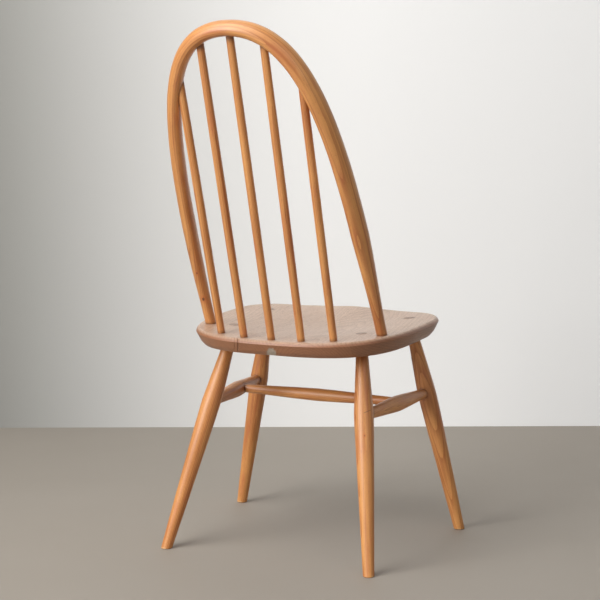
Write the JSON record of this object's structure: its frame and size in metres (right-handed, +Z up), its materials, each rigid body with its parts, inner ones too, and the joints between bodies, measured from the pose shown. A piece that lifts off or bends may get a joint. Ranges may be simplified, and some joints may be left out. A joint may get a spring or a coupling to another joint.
{
  "type": "hoop back dining chair",
  "caption": "Hoop-back stick chair: a saddled wooden seat on splayed turned legs with stretchers, and a bent bow filled with slim spindles.",
  "frame": {"origin": "on the floor, under the centre of the chair's box", "axes": "+Z up, the chair faces -Y, the sitter's left is +X"},
  "size_m": [0.5052, 0.5508, 0.9738],
  "materials": {
    "elm": "open-grained seat wood under a thin satin lacquer, worn pale on top",
    "beech": "honey-coloured straight-grained wood with fine flecks under satin lacquer",
    "wedge_wood": "dark end grain, sanded flush"
  },
  "bodies": {
    "root": {"seat": "elm", "bow": "beech", "spindle_far_left": "beech", "spindle_left": "beech", "spindle_centre": "beech", "spindle_right": "beech", "spindle_far_right": "beech", "leg_front_left": "beech", "leg_front_right": "beech", "leg_rear_left": "beech", "leg_rear_right": "beech", "side_stretcher_left": "beech", "side_stretcher_right": "beech", "cross_stretcher": "beech", "leg_wedge_front_left": "wedge_wood", "leg_wedge_front_right": "wedge_wood", "leg_wedge_rear_left": "wedge_wood", "leg_wedge_rear_right": "wedge_wood", "bow_wedge_left": "wedge_wood", "bow_wedge_right": "wedge_wood"}
  },
  "joints": []
}
